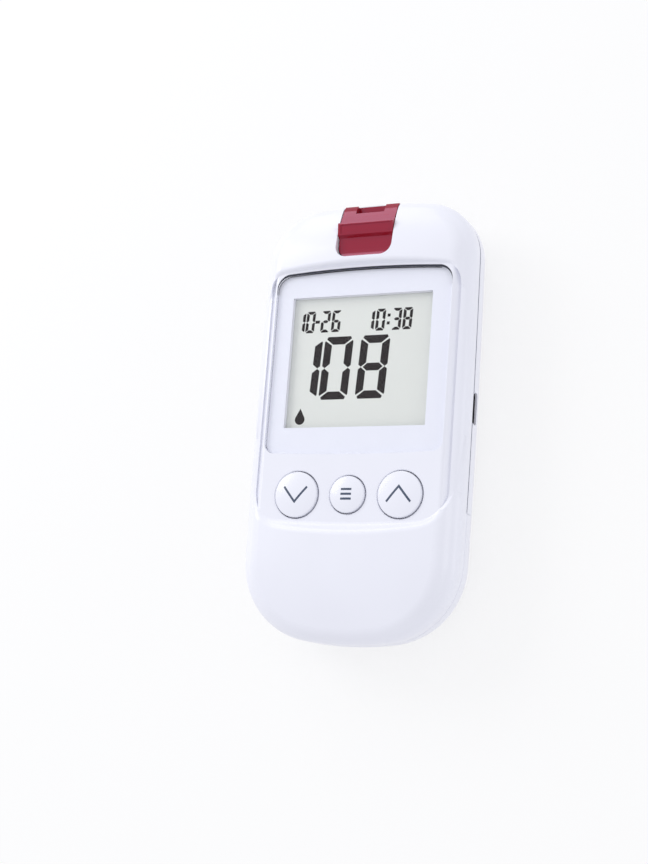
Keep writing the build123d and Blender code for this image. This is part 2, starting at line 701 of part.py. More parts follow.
# ------------------------------------------------------------------
# Fasteners
# ------------------------------------------------------------------

def housing_screws():
    screws = []
    for x, y in SCREWS:
        head = post(x, y, SCREW_HEAD_R, SCREW_SEAT_Z - SCREW_HEAD_H, SCREW_SEAT_Z)
        low = head.edges().group_by(Axis.Z)[0]
        head = fillet(low, 0.5)
        for turn in (0, 90):
            slot = Pos(x, y, SCREW_SEAT_Z - SCREW_HEAD_H) * Rot(0, 0, turn) * Box(2.2, 0.5, 1.4)
            head -= slot
        shank = post(x, y, SCREW_R - 0.02, SCREW_SEAT_Z, SCREW_TIP_Z)
        tip = shank.edges().group_by(Axis.Z)[-1]
        screws.append(head + chamfer(tip, 0.5))
    return screws


# ------------------------------------------------------------------
# Writing
# ------------------------------------------------------------------

def write(name, shape):
    """Write one sub-part; a list becomes a group of separate solids."""
    if isinstance(shape, list):
        shape = Compound(children=[Part() + item for item in shape])
    export_step(shape, os.path.join("parts", name + ".step"))


def main():
    os.makedirs("parts", exist_ok=True)
    write("front_housing", front_housing())
    write("back_housing", back_housing())
    write("battery_door", battery_door())
    write("display_lens", display_lens())
    write("lens_adhesive", lens_adhesive())
    write("lcd_glass", lcd_glass())
    write("lcd_frame", lcd_frame())
    write("lcd_connector", lcd_connector())
    write("main_board", main_board())
    write("processor_chip", processor_chip())
    write("memory_chip", memory_chip())
    write("clock_crystal", clock_crystal())
    write("wireless_module", wireless_module())
    write("buzzer", buzzer())
    write("data_socket", data_socket())
    write("socket_tongue", socket_tongue())
    for name, (x, radius) in zip(("down", "memory", "up"), key_places()):
        write("button_" + name, key_cap(x, radius))
        write("key_dome_" + name, key_dome(x))
    write("ejector_slider", ejector_slider())
    write("strip_pusher", strip_pusher())
    write("strip_connector", strip_connector())
    write("strip_contacts", strip_contacts())
    write("ejector_spring", ejector_spring())
    write("battery_left", battery_cell(-CELL_X, True))
    write("battery_right", battery_cell(CELL_X, False))
    write("battery_contacts", battery_contacts())
    write("housing_screws", housing_screws())


if __name__ == "__main__":
    main()
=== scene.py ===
import math

import bmesh
import bpy
from bpy.props import FloatProperty, FloatVectorProperty, IntProperty, PointerProperty
from bpy.types import Operator, Panel, PropertyGroup
from mathutils import Matrix, Vector


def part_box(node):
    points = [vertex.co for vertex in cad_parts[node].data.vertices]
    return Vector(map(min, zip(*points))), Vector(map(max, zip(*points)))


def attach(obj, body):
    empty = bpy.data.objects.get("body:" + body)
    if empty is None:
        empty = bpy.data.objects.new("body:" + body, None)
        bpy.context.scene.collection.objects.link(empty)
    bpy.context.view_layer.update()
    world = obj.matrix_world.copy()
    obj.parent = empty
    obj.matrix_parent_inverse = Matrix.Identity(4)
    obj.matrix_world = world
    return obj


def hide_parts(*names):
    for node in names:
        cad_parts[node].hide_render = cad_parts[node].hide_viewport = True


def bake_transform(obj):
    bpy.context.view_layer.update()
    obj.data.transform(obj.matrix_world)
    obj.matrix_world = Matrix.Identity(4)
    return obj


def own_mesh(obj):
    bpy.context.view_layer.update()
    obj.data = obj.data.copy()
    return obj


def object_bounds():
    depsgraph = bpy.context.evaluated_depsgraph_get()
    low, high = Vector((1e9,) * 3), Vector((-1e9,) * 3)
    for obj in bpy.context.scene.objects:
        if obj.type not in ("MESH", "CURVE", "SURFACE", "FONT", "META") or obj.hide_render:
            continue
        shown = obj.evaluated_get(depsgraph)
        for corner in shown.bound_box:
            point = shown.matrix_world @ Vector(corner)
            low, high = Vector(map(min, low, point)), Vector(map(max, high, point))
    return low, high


bl_info = {
    "name": "Blood Glucose Meter",
    "version": (1, 0, 0),
    "blender": (4, 5, 0),
    "location": "View3D > Sidebar > Glucose Meter",
    "description": "Finishes, display, key marks and studio for a blood glucose meter",
    "category": "Object",
}

MM = 0.001

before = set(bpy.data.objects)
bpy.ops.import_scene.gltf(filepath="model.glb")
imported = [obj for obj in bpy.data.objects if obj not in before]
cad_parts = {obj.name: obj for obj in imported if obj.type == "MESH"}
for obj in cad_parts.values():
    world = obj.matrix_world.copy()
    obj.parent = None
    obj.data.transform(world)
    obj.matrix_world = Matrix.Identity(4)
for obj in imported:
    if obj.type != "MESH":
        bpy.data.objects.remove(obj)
CAD_LOW, CAD_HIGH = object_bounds()

LENS_LOW, LENS_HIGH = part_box("display_lens")
LCD_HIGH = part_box("lcd_glass")[1]
KEYS = {"down": "button_down", "memory": "button_memory", "up": "button_up"}


def srgb(red, green, blue):
    """A colour given as 0 to 255 screen values, as the linear colour Blender works in."""
    def linear(value):
        value /= 255
        return value / 12.92 if value <= 0.04045 else ((value + 0.055) / 1.055) ** 2.4
    return tuple(linear(value) for value in (red, green, blue))


# ------------------------------------------------------------------
# Settings
# ------------------------------------------------------------------

def colour(name, description, default):
    return FloatVectorProperty(name=name, description=description, default=default,
                               subtype="COLOR", min=0.0, max=1.0, size=3)


def length(name, description, default):
    return FloatProperty(name=name, description=description, default=default,
                         unit="LENGTH", subtype="DISTANCE", min=0.0)


class MeterColours(PropertyGroup):
    case: colour("Case", "Moulded white of both shells, the door and the keys", srgb(240, 241, 249))
    # Painted shade: a colour that darkens the groove between the shells in place of the shadow there
    seam: colour("Seam", "Shade in the groove between the shells", srgb(96, 96, 118))
    ejector: colour("Ejector", "Crimson of the strip ejector", srgb(146, 14, 30))
    lens_print: colour("Lens border", "White print behind the display lens", srgb(237, 239, 249))
    display: colour("Display ground", "Pale grey of the display where no segment is lit",
                    srgb(228, 231, 226))
    segments: colour("Segments", "Dark of the switched-on segments", srgb(30, 23, 25))
    marks: colour("Key marks", "Slate blue of the marks on the keys", srgb(70, 82, 104))


class MeterDisplay(PropertyGroup):
    window_width: length("Window width", "Clear width left in the lens border", 35.3 * MM)
    window_height: length("Window height", "Clear height left in the lens border", 31.5 * MM)
    window_y: length("Window centre", "Height of the window's centre up the meter", 13.3 * MM)
    reading: IntProperty(name="Reading", description="Number shown in the large digits",
                         default=108, min=100, max=199)
    digit_height: length("Digit height", "Height of the large digits", 15.1 * MM)
    lean: FloatProperty(name="Lean", description="Sideways lean of the digits per unit of height",
                        default=0.05, min=0.0, max=0.5)


class MeterStage(PropertyGroup):
    tent: FloatProperty(name="Light tent", description="Strength of the light from all round",
                        default=0.85, min=0.0)
    key_power: FloatProperty(name="Key power", description="Power of the lamp off the left shoulder",
                             default=1.3, min=0.0, unit="POWER")
    rear_power: FloatProperty(name="Rear power", description="Power of the lamp behind the strip end",
                              default=0.4, min=0.0, unit="POWER")
    fill_power: FloatProperty(name="Fill power", description="Power of the low lamp on the port side",
                              default=0.3, min=0.0, unit="POWER")
    floor_size: length("Floor size", "Side of the square floor", 4.0)


# ------------------------------------------------------------------
# Materials
# ------------------------------------------------------------------

def start_material(name):
    """An empty node material with its shader, ready for texture nodes."""
    material = bpy.data.materials.new(name)
    material.use_nodes = True
    tree = material.node_tree
    shader = tree.nodes["Principled BSDF"]
    return material, tree, shader


def place_noise(tree, scale, detail=2.0):
    """Noise laid on the piece by its own coordinates."""
    where = tree.nodes.new("ShaderNodeTexCoord")
    noise = tree.nodes.new("ShaderNodeTexNoise")
    noise.inputs["Scale"].default_value = scale
    noise.inputs["Detail"].default_value = detail
    tree.links.new(where.outputs["Object"], noise.inputs["Vector"])
    return noise


def tint_by(tree, shader, source, base, change):
    """Base colour that wavers between the colour and a slightly darker one."""
    ramp = tree.nodes.new("ShaderNodeValToRGB")
    ramp.color_ramp.elements[0].position = 0.3
    ramp.color_ramp.elements[1].position = 0.7
    ramp.color_ramp.elements[0].color = (*[c * (1 - change) for c in base], 1)
    ramp.color_ramp.elements[1].color = (*base, 1)
    tree.links.new(source, ramp.inputs["Fac"])
    tree.links.new(ramp.outputs["Color"], shader.inputs["Base Color"])


def gloss_by(tree, shader, source, low, high):
    """Roughness that wavers between two values."""
    spread = tree.nodes.new("ShaderNodeMapRange")
    spread.inputs["To Min"].default_value = low
    spread.inputs["To Max"].default_value = high
    tree.links.new(source, spread.inputs["Value"])
    tree.links.new(spread.outputs["Result"], shader.inputs["Roughness"])


def bump_by(tree, shader, source, height):
    """Relief of the given height in metres."""
    bump = tree.nodes.new("ShaderNodeBump")
    bump.inputs["Strength"].default_value = 1.0
    bump.inputs["Distance"].default_value = height
    tree.links.new(source, bump.inputs["Height"])
    tree.links.new(bump.outputs["Normal"], shader.inputs["Normal"])


def moulded_gloss(name, base, rough=(0.26, 0.36), coat=0.15, flow=0.02, relief=0.004 * MM):
    """Polished injection moulding: faint flow tint, tiny orange peel, thin clear gloss."""
    material, tree, shader = start_material(name)
    flow_noise = place_noise(tree, 60)
    tint_by(tree, shader, flow_noise.outputs["Fac"], base, flow)
    gloss_by(tree, shader, flow_noise.outputs["Fac"], *rough)
    peel = place_noise(tree, 900, 1.0)
    bump_by(tree, shader, peel.outputs["Fac"], relief)
    shader.inputs["Coat Weight"].default_value = coat
    shader.inputs["Coat Roughness"].default_value = 0.12
    shader.inputs["IOR"].default_value = 1.49
    return material


def shade_band(material, low, high, shade):
    """Paints a level band of a moulding a darker colour: painted shade standing for a groove that
    little light reaches.
    """
    tree = material.node_tree
    shader = tree.nodes["Principled BSDF"]
    where = tree.nodes.new("ShaderNodeTexCoord")
    split = tree.nodes.new("ShaderNodeSeparateXYZ")
    tree.links.new(where.outputs["Object"], split.inputs["Vector"])
    inside = tree.nodes.new("ShaderNodeMath")
    inside.operation = "COMPARE"
    inside.inputs[1].default_value = (low + high) / 2
    inside.inputs[2].default_value = (high - low) / 2
    tree.links.new(split.outputs["Z"], inside.inputs[0])
    mix = tree.nodes.new("ShaderNodeMix")
    mix.data_type = "RGBA"
    tree.links.new(inside.outputs[0], mix.inputs["Factor"])
    tree.links.new(shader.inputs["Base Color"].links[0].from_socket, mix.inputs["A"])
    mix.inputs["B"].default_value = (*shade, 1)
    tree.links.new(mix.outputs["Result"], shader.inputs["Base Color"])


def textured_matte(name, base, rough=(0.5, 0.7), grain=2500, relief=0.01 * MM, change=0.08):
    """Matte moulding, rubber or board with a fine spark-eroded grain."""
    material, tree, shader = start_material(name)
    grain_noise = place_noise(tree, grain, 3.0)
    cloud = place_noise(tree, 120)
    tint_by(tree, shader, cloud.outputs["Fac"], base, change)
    gloss_by(tree, shader, cloud.outputs["Fac"], *rough)
    bump_by(tree, shader, grain_noise.outputs["Fac"], relief)
    return material


def drawn_metal(name, base, rough=(0.22, 0.38), along="X", scale=900):
    """Rolled or plated metal with fine lines along one axis."""
    material, tree, shader = start_material(name)
    where = tree.nodes.new("ShaderNodeTexCoord")
    stretch = tree.nodes.new("ShaderNodeMapping")
    stretch.inputs["Scale"].default_value = [0.05 if a == along else 1.0 for a in "XYZ"]
    noise = tree.nodes.new("ShaderNodeTexNoise")
    noise.inputs["Scale"].default_value = scale
    tree.links.new(where.outputs["Object"], stretch.inputs["Vector"])
    tree.links.new(stretch.outputs["Vector"], noise.inputs["Vector"])
    tint_by(tree, shader, noise.outputs["Fac"], base, 0.12)
    gloss_by(tree, shader, noise.outputs["Fac"], *rough)
    bump_by(tree, shader, noise.outputs["Fac"], 0.002 * MM)
    shader.inputs["Metallic"].default_value = 1.0
    return material


def clear_lens(name):
    """Clear acrylic with a hard coat and the faintest haze."""
    material, tree, shader = start_material(name)
    haze = place_noise(tree, 200)
    tint_by(tree, shader, haze.outputs["Fac"], (0.99, 0.99, 0.99), 0.01)
    gloss_by(tree, shader, haze.outputs["Fac"], 0.01, 0.03)
    shader.inputs["Transmission Weight"].default_value = 1.0
    shader.inputs["IOR"].default_value = 1.2
    return material


def display_glass(name, base):
    """Reflective liquid crystal cell: pale grey with a fine sparkle."""
    material, tree, shader = start_material(name)
    sparkle = place_noise(tree, 4000, 2.0)
    tint_by(tree, shader, sparkle.outputs["Fac"], base, 0.03)
    gloss_by(tree, shader, sparkle.outputs["Fac"], 0.35, 0.5)
    shader.inputs["Specular IOR Level"].default_value = 0.2
    return material


def dress(node, material):
    """Gives a CAD node its finish."""
    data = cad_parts[node].data
    data.materials.clear()
    data.materials.append(material)


# ------------------------------------------------------------------
# Mesh helpers
# ------------------------------------------------------------------

def new_piece(name, mesh, material):
    """A named piece with its finish, not yet on any body."""
    piece = bpy.data.objects.new(name, mesh)
    bpy.context.scene.collection.objects.link(piece)
    mesh.materials.append(material)
    return piece


def flat_shapes(name, outlines, height, thickness):
    """Flat plates standing a little way up from a height, one for each outline."""
    bm = bmesh.new()
    for outline in outlines:
        low = [bm.verts.new((x, y, height)) for x, y in outline]
        high = [bm.verts.new((x, y, height + thickness)) for x, y in outline]
        bm.faces.new(list(reversed(low)))
        bm.faces.new(high)
        count = len(outline)
        for i in range(count):
            j = (i + 1) % count
            bm.faces.new((low[i], low[j], high[j], high[i]))
    bmesh.ops.recalc_face_normals(bm, faces=bm.faces)
    mesh = bpy.data.meshes.new(name)
    bm.to_mesh(mesh)
    bm.free()
    return mesh


def rounded_rectangle(half_w, half_h, radius, centre, steps=8):
    """Points round a rectangle with rounded corners."""
    points = []
    for corner, (sx, sy) in enumerate(((1, 1), (-1, 1), (-1, -1), (1, -1))):
        for step in range(steps + 1):
            angle = math.radians(90 * corner + 90 * step / steps)
            points.append((centre[0] + sx * (half_w - radius) + radius * math.cos(angle),
                           centre[1] + sy * (half_h - radius) + radius * math.sin(angle)))
    return points


# ------------------------------------------------------------------
# Case, keys and ejector
# ------------------------------------------------------------------

SEAM_HEIGHT = 0.2 * MM       # how far the painted groove shade reaches above the parting plane
SEAM_FOOT = 0.12 * MM        # and below it


class METER_OT_finish_case(Operator):
    """Gives both shells, the battery door and the keys their polished white finish, with painted shade
    along the groove between the shells
    """
    bl_idname = "meter.finish_case"
    bl_label = "Finish Case"

    def execute(self, context):
        colours = context.scene.meter_colours
        shell = moulded_gloss("case_white", colours.case)
        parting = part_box("battery_door")[1].z
        # Painted shade along the groove at the parting plane, standing for the shadow inside the groove
        shade_band(shell, parting - SEAM_FOOT, parting + SEAM_HEIGHT, colours.seam)
        for node in ("front_housing", "back_housing"):
            dress(node, shell)
        dress("battery_door", moulded_gloss("door_white", colours.case))
        keys = moulded_gloss("key_white", colours.case, rough=(0.2, 0.3), flow=0.01)
        for node in KEYS.values():
            dress(node, keys)
        return {"FINISHED"}


SLIDER_SPECULAR = 0.85
SLIDER_SHEEN = (1.0, 0.6, 0.9, 1)    # tint of what the slider mirrors


class METER_OT_finish_ejector(Operator):
    """Gives the strip ejector its crimson satin gloss and the strip guide its darker red"""
    bl_idname = "meter.finish_ejector"
    bl_label = "Finish Ejector"

    def execute(self, context):
        crimson = context.scene.meter_colours.ejector
        slider = moulded_gloss("ejector_crimson", crimson, rough=(0.1, 0.18), coat=0.0, flow=0.06)
        sheen = slider.node_tree.nodes["Principled BSDF"].inputs
        sheen["Specular IOR Level"].default_value = SLIDER_SPECULAR
        sheen["Specular Tint"].default_value = SLIDER_SHEEN
        dress("ejector_slider", slider)
        dress("strip_connector", textured_matte("guide_red", [c * 0.4 for c in crimson]))
        return {"FINISHED"}


# ------------------------------------------------------------------
# Display
# ------------------------------------------------------------------

SEGMENTS_ON = {
    "0": "abcdef", "1": "bc", "2": "abged", "3": "abgcd", "4": "fgbc",
    "5": "afgcd", "6": "afgedc", "7": "abc", "8": "abcdefg", "9": "abcdfg",
}
READING_PLACES = (-12.7, -10.25, -1.0)
DATE_SIGNS = (("1", -15.95), ("0", -15.0), ("-", -12.6), ("2", -11.1), ("6", -8.35))
TIME_SIGNS = (("1", 1.85), ("0", 2.95), (":", 5.75), ("3", 7.0), ("8", 9.7))
SMALL_ROWS = ((DATE_SIGNS, 20.7), (TIME_SIGNS, 20.5))    # each row with the height of its foot

READING_FOOT = 4.4 * MM
READING_WIDTH = 7.3 * MM
READING_BAR = 1.9 * MM
READING_GAP = 0.1 * MM
SMALL_WIDTH = 2.3 * MM
SMALL_HEIGHT = 5.25 * MM
SMALL_BAR = 0.72 * MM
SMALL_GAP = 0.04 * MM
COLON_DOTS = (0.26, 0.62)    # feet of the colon's dots, in digit heights
DASH_WIDTH = 0.5             # in digit widths

DROP_CENTRE = (-14.6 * MM, -0.2 * MM)
DROP_RADIUS = 1.25 * MM
DROP_START = 150             # degrees at which the round foot leaves the point's left side
DROP_SWEEP = 240
DROP_TIP = 2.1               # height of the point above the centre, in radii

WINDOW_X = -0.3 * MM
WINDOW_CORNER = 0.15 * MM
BORDER_INSET = 0.05 * MM     # how far the print stays inside the lens's outline
BORDER_LIFT = 0.01 * MM      # how far the print starts above the lens's foot
SEGMENT_LIFT = 0.005 * MM    # how far the segments start above the display cell
PRINT_THICKNESS = 0.01 * MM


def segment_outlines(width, height, bar, gap):
    """Outlines of the seven bars of a digit, on a cell that starts at its lower left corner."""
    mid = height / 2
    upright = [(0.1 * bar, 0.5 * bar), (bar, 1.05 * bar + gap), (bar, mid - 0.55 * bar),
               (0.35 * bar, mid - gap / 2), (0, mid - 0.3 * bar), (0, 0.65 * bar)]
    level = [(0.4 * bar, 0), (width - 0.4 * bar, 0), (width - 0.25 * bar, 0.3 * bar),
             (width - 1.1 * bar - gap, bar), (1.1 * bar + gap, bar), (0.25 * bar, 0.3 * bar)]
    middle = [(0.6 * bar, mid), (1.15 * bar, mid - 0.48 * bar), (width - 1.15 * bar, mid - 0.48 * bar),
              (width - 0.6 * bar, mid), (width - 1.15 * bar, mid + 0.48 * bar),
              (1.15 * bar, mid + 0.48 * bar)]
    def flip_x(points):
        return [(width - x, y) for x, y in points]
    def flip_y(points):
        return [(x, height - y) for x, y in points]
    return {"e": upright, "f": flip_y(upright), "c": flip_x(upright), "b": flip_y(flip_x(upright)),
            "d": level, "a": flip_y(level), "g": middle}


def digit_shapes(signs, low, width, height, bar, gap, lean):
    """Outlines for a row of leaning seven-bar digits, each sign with the place of its left edge."""
    shapes = []
    cell = segment_outlines(width, height, bar, gap)
    for sign, left in signs:
        if sign == ":":
            outlines = [[(0, y), (bar, y), (bar, y + bar), (0, y + bar)]
                        for y in [height * dot for dot in COLON_DOTS]]
        elif sign == "-":
            dash, mid = DASH_WIDTH * width, height / 2
            outlines = [[(0, mid - bar / 2), (dash, mid - bar / 2), (dash, mid + bar / 2),
                         (0, mid + bar / 2)]]
        else:
            outlines = [cell[name] for name in SEGMENTS_ON[sign]]
        if sign == "1":
            outlines = [[(x - width + bar, y) for x, y in outline] for outline in outlines]
        shapes += [[(left + x + lean * y, low + y) for x, y in outline] for outline in outlines]
    return shapes


def drop_outline(centre, radius, steps=20):
    """Outline of a blood drop: a round foot drawn up to a point."""
    x0, y0 = centre
    points = []
    for step in range(steps + 1):
        angle = math.radians(DROP_START + DROP_SWEEP * step / steps)
        points.append((x0 + radius * math.cos(angle), y0 + radius * math.sin(angle)))
    points.append((x0, y0 + DROP_TIP * radius))
    return points


class METER_OT_build_display(Operator):
    """Builds the lens border, the lit segments and the finishes of the display"""
    bl_idname = "meter.build_display"
    bl_label = "Build Display"

    def execute(self, context):
        colours = context.scene.meter_colours
        display = context.scene.meter_display
        dress("display_lens", clear_lens("lens_acrylic"))
        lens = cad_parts["display_lens"]
        lens.visible_shadow = False
        lens.visible_diffuse = False
        dress("lcd_glass", display_glass("display_ground", colours.display))
        # Dark adhesive bead round the lens: partly real adhesive, partly painted shade standing in for
        # the shadow in the gap above the lens
        dress("lens_adhesive", textured_matte("adhesive_slate", srgb(44, 46, 60)))
        self.build_border(display, colours)
        self.build_segments(display, colours)
        return {"FINISHED"}

    def build_border(self, display, colours):
        """White print on the back of the lens, with the window left clear."""
        ink = textured_matte("border_ink", colours.lens_print, rough=(0.35, 0.45), relief=0.001 * MM,
                             change=0.01)
        window = rounded_rectangle(display.window_width / 2, display.window_height / 2,
                                   WINDOW_CORNER, (WINDOW_X, display.window_y))
        height = LENS_LOW.z + BORDER_LIFT
        bm = bmesh.new()
        for ring in (self.lens_outline(BORDER_INSET), window):
            corners = [bm.verts.new((x, y, height)) for x, y in ring]
            for first, second in zip(corners, corners[1:] + corners[:1]):
                bm.edges.new((first, second))
        bmesh.ops.triangle_fill(bm, use_beauty=True, edges=bm.edges[:])
        raised = bmesh.ops.extrude_face_region(bm, geom=bm.faces[:])
        top = [item for item in raised["geom"] if isinstance(item, bmesh.types.BMVert)]
        bmesh.ops.translate(bm, verts=top, vec=(0, 0, PRINT_THICKNESS))
        bmesh.ops.recalc_face_normals(bm, faces=bm.faces)
        mesh = bpy.data.meshes.new("lens_border")
        bm.to_mesh(mesh)
        bm.free()
        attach(new_piece("lens_border", mesh, ink), "housing")

    def lens_outline(self, inset):
        """The lens's own outline at its foot, drawn in by a small step."""
        foot = [v.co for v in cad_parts["display_lens"].data.vertices
                if v.co.z < LENS_LOW.z + BORDER_LIFT]
        middle = (LENS_LOW + LENS_HIGH) / 2
        def bearing(point):
            return math.atan2(point[1] - middle.y, point[0] - middle.x)
        corners = sorted({(round(p.x, 7), round(p.y, 7)) for p in foot}, key=bearing)
        shrink_x = 1 - 2 * inset / (LENS_HIGH.x - LENS_LOW.x)
        shrink_y = 1 - 2 * inset / (LENS_HIGH.y - LENS_LOW.y)
        return [(middle.x + (x - middle.x) * shrink_x, middle.y + (y - middle.y) * shrink_y)
                for x, y in corners]

    def build_segments(self, display, colours):
        """Date and time above, the reading in large digits below, and a drop in the corner."""
        dark = display_glass("segment_dark", colours.segments)
        reading = [(sign, x * MM) for sign, x in zip(str(display.reading), READING_PLACES)]
        shapes = digit_shapes(reading, READING_FOOT, READING_WIDTH, display.digit_height,
                              READING_BAR, READING_GAP, display.lean)
        for signs, low in SMALL_ROWS:
            signs = [(sign, x * MM) for sign, x in signs]
            shapes += digit_shapes(signs, low * MM, SMALL_WIDTH, SMALL_HEIGHT, SMALL_BAR,
                                   SMALL_GAP, display.lean)
        shapes.append(drop_outline(DROP_CENTRE, DROP_RADIUS))
        mesh = flat_shapes("display_segments", shapes, LCD_HIGH.z + SEGMENT_LIFT, PRINT_THICKNESS)
        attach(new_piece("display_segments", mesh, dark), "housing")


# ------------------------------------------------------------------
# Key marks
# ------------------------------------------------------------------

KEY_MARKS = {
    "down": [[(-2.9, 1.75), (0.0, -1.75), (2.9, 1.75)]],
    "memory": [[(-1.3, 1.1), (1.3, 1.1)], [(-1.3, 0.0), (1.3, 0.0)], [(-1.3, -1.1), (1.3, -1.1)]],
    "up": [[(-2.9, -1.75), (0.0, 1.75), (2.9, -1.75)]],
}
MARK_WIDTH = 0.5
MARK_STEPS = 12              # lengths that each stroke is split into, to follow the dome
MITRE_LIMIT = 0.2            # keeps a sharp bend's corner from running out
MARK_LIFT = 0.015 * MM       # how far a mark stands above its cap
DROP_HEIGHT = 5 * MM         # how far above the meter the marks are dropped from


class METER_OT_print_keys(Operator):
    """Prints an arrow or a list mark on each key, following its dome"""
    bl_idname = "meter.print_keys"
    bl_label = "Print Key Marks"

    def execute(self, context):
        ink = textured_matte("key_ink", context.scene.meter_colours.marks, rough=(0.35, 0.5),
                             relief=0.001 * MM)
        for key, node in KEYS.items():
            low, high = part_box(node)
            centre = (low + high) / 2
            mesh = self.stroke_mesh("mark_" + key, KEY_MARKS[key], centre)
            piece = new_piece("mark_" + key, mesh, ink)
            self.lay_on(piece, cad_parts[node])
            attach(piece, "key_" + key)
        return {"FINISHED"}

    def stroke_mesh(self, name, strokes, centre):
        """Ribbons with mitred bends along each stroke, split into short lengths."""
        bm = bmesh.new()
        half = MARK_WIDTH / 2
        for stroke in strokes:
            points = [Vector(p) for p in stroke]
            edges = []
            for i, point in enumerate(points):
                before = (point - points[i - 1]).normalized() if i > 0 else None
                after = (points[i + 1] - point).normalized() if i + 1 < len(points) else None
                along = before or after
                if before and after:
                    along = (before + after).normalized()
                side = Vector((-along.y, along.x))
                reach = half
                if before and after:
                    reach = half / max(MITRE_LIMIT, side.dot(Vector((-before.y, before.x))))
                edges.append((point + side * reach, point - side * reach))
            for (a0, b0), (a1, b1) in zip(edges, edges[1:]):
                rows = []
                for step in range(MARK_STEPS + 1):
                    t = step / MARK_STEPS
                    rows.append([a0.lerp(a1, t), (a0.lerp(a1, t) + b0.lerp(b1, t)) / 2, b0.lerp(b1, t)])
                grid = [[bm.verts.new((centre.x + p.x * MM, centre.y + p.y * MM, CAD_HIGH.z))
                         for p in row] for row in rows]
                for r0, r1 in zip(grid, grid[1:]):
                    for k in range(2):
                        bm.faces.new((r0[k], r0[k + 1], r1[k + 1], r1[k]))
        bmesh.ops.recalc_face_normals(bm, faces=bm.faces)
        mesh = bpy.data.meshes.new(name)
        bm.to_mesh(mesh)
        bm.free()
        return mesh

    def lay_on(self, piece, cap):
        """Drops every point of the mark onto the cap, a hair above its surface."""
        for vertex in piece.data.vertices:
            start = Vector((vertex.co.x, vertex.co.y, CAD_HIGH.z + DROP_HEIGHT))
            hit, place = cap.ray_cast(start, Vector((0, 0, -1)))[:2]
            if not hit:
                raise RuntimeError("a key mark reaches past its cap")
            vertex.co = place + Vector((0, 0, MARK_LIFT))
        piece.data.update()


# ------------------------------------------------------------------
# Parts inside
# ------------------------------------------------------------------

class METER_OT_finish_inside(Operator):
    """Gives the board, its parts, the sockets, cells and screws their finishes"""
    bl_idname = "meter.finish_inside"
    bl_label = "Finish Inside"

    def execute(self, context):
        steel = drawn_metal("plated_steel", srgb(190, 192, 196))
        finishes = {
            "main_board": moulded_gloss("solder_mask", srgb(22, 92, 52), rough=(0.3, 0.45), flow=0.2),
            "processor_chip": textured_matte("chip_black", srgb(34, 34, 36)),
            "clock_crystal": steel,
            "wireless_module": drawn_metal("tinned_can", srgb(205, 206, 208), rough=(0.3, 0.5)),
            "buzzer": textured_matte("buzzer_black", srgb(28, 28, 30)),
            "data_socket": drawn_metal("socket_steel", srgb(104, 98, 104)),
            "socket_tongue": textured_matte("socket_maroon", srgb(70, 16, 28)),
            "lcd_frame": textured_matte("carrier_white", srgb(225, 225, 218)),
            "lcd_connector": textured_matte("elastomer_pink", srgb(214, 150, 150)),
            "strip_pusher": steel,
            "strip_contacts": drawn_metal("gold_contact", srgb(226, 188, 112)),
            "battery_contacts": drawn_metal("nickel_leaf", srgb(205, 203, 198)),
            "housing_screws": drawn_metal("screw_steel", srgb(120, 120, 124), along="Z"),
        }
        finishes["memory_chip"] = finishes["processor_chip"]
        for node, material in finishes.items():
            dress(node, material)
        self.wrap_cells()
        self.fit_spring(steel)
        self.fit_domes()
        return {"FINISHED"}

    def wrap_cells(self):
        """Printed sleeve on each cell with bare metal at both ends."""
        material, tree, shader = start_material("cell_sleeve")
        where = tree.nodes.new("ShaderNodeTexCoord")
        split = tree.nodes.new("ShaderNodeSeparateXYZ")
        tree.links.new(where.outputs["Generated"], split.inputs["Vector"])
        bands = tree.nodes.new("ShaderNodeValToRGB")
        bands.color_ramp.interpolation = "CONSTANT"
        stops = [(0.0, srgb(196, 198, 200)), (0.03, srgb(58, 70, 92)), (0.7, srgb(190, 150, 92)),
                 (0.97, srgb(196, 198, 200))]
        for i, (place, shade) in enumerate(stops):
            stop = bands.color_ramp.elements[i] if i < 2 else bands.color_ramp.elements.new(place)
            stop.position = place
            stop.color = (*shade, 1)
        tree.links.new(split.outputs["Y"], bands.inputs["Fac"])
        tree.links.new(bands.outputs["Color"], shader.inputs["Base Color"])
        gloss_by(tree, shader, place_noise(tree, 80).outputs["Fac"], 0.25, 0.4)
        shader.inputs["Metallic"].default_value = 0.3
        for node in ("battery_left", "battery_right"):
            dress(node, material)

    def copy_of(self, node, name, material, slot):
        """A copy of a CAD node that may change shape in its place."""
        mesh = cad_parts[node].data.copy()
        mesh.materials.clear()
        piece = new_piece(name, mesh, material)
        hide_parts(node)
        return piece

    def fit_spring(self, steel):
        """A copy of the return spring in the CAD node's place, with its placement baked into the mesh.
        """
        piece = self.copy_of("ejector_spring", "ejector_spring_wire", steel, "spring")
        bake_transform(piece)

    def fit_domes(self):
        """A copy of the rubber dome under each key, in the CAD node's place and carried by the housing.
        """
        rubber = textured_matte("dome_rubber", srgb(206, 206, 212), rough=(0.4, 0.55))
        for key in KEYS:
            node = "key_dome_" + key
            piece = self.copy_of(node, node + "_rubber", rubber, "key_dome")
            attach(piece, "housing")
            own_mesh(piece)


# ------------------------------------------------------------------
# Stage
# ------------------------------------------------------------------

CAMERA_PLACE = (0.14442, -0.07652, 0.33402)
CAMERA_RIGHT = (0.9061, 0.0740, -0.4166)
CAMERA_UP = (0.0192, 0.9764, 0.2152)
CAMERA_BACK = (0.4227, -0.2030, 0.8833)
FOCAL_PIXELS = 1559.06
IMAGE_HEIGHT = 864
SENSOR = 36.0

FLOOR_COLOUR = (0.94, 0.94, 0.94)
FLOOR_GLOW = 0.7             # share of plain white in what the eye and mirrors see of the floor
TENT_COLOUR = (0.95, 0.955, 1.0, 1)
LAMPS = (                    # name, place, side of the square, setting that holds its power
    ("lamp_key", (-0.5, 0.3, 0.38), 0.35, "key_power"),
    ("lamp_rear", (-0.26, 0.58, 0.31), 0.25, "rear_power"),
    ("lamp_fill", (0.62, 0.03, 0.16), 0.3, "fill_power"),
)


